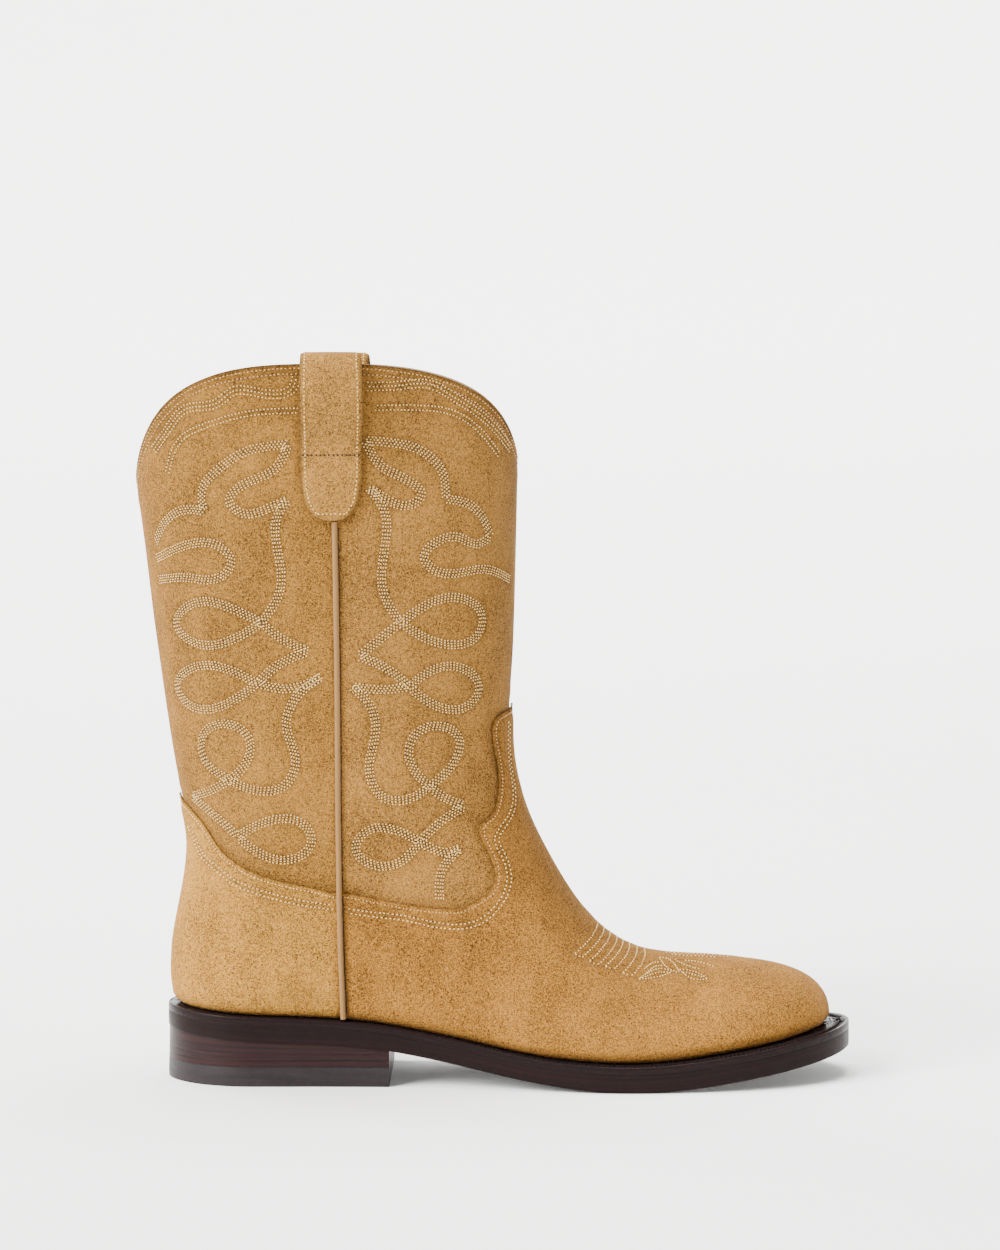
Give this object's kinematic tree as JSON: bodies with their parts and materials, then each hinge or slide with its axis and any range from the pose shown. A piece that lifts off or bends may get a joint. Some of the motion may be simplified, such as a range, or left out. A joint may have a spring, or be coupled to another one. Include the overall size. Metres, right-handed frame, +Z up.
{
  "type": "western pull-on boot",
  "caption": "Suede western pull-on boot for a right foot, with lined shaft, scalloped top line, pull straps, welted leather sole and low stacked heel.",
  "frame": {"origin": "centre of the bounding box in plan, at floor level under heel and ball", "axes": "+X towards the toe, -Y towards the outer side of the foot, +Z up the shaft"},
  "size_m": [0.2938, 0.1156, 0.2975],
  "materials": {
    "suede": "brushed nap",
    "piping_leather": "smooth",
    "lining_leather": "smooth matt",
    "stiffener_fibre": "matt fibre sheet",
    "footbed_leather": "smooth matt",
    "board_fibre": "pressed fibre board",
    "cork": "granular cork",
    "shank_steel": "rolled strip",
    "felt": "pressed felt",
    "welt_leather": "burnished",
    "sole_leather": "burnished edge",
    "heel_leather": "burnished stacked layers",
    "top_lift_rubber": "satin",
    "nail_steel": "bright",
    "thread": "waxed polyester thread"
  },
  "bodies": {
    "root": {"vamp": "suede", "counter_cover": "suede", "shaft_front": "suede", "shaft_back": "suede", "pull_strap_outer": "suede", "pull_strap_inner": "suede", "side_piping_outer": "piping_leather", "side_piping_inner": "piping_leather", "shaft_lining_front": "lining_leather", "shaft_lining_back": "lining_leather", "vamp_lining": "lining_leather", "counter_lining": "lining_leather", "toe_stiffener": "stiffener_fibre", "heel_stiffener": "stiffener_fibre", "footbed": "footbed_leather", "insole_board": "board_fibre", "cork_filler": "cork", "waist_filler": "felt", "shank": "shank_steel", "welt": "welt_leather", "outsole": "sole_leather", "heel_base": "heel_leather", "heel_lift_1": "heel_leather", "heel_lift_2": "heel_leather", "heel_top_lift": "top_lift_rubber", "heel_nail_1": "nail_steel", "heel_nail_2": "nail_steel", "heel_nail_3": "nail_steel", "heel_nail_4": "nail_steel", "heel_nail_5": "nail_steel"}
  },
  "joints": []
}
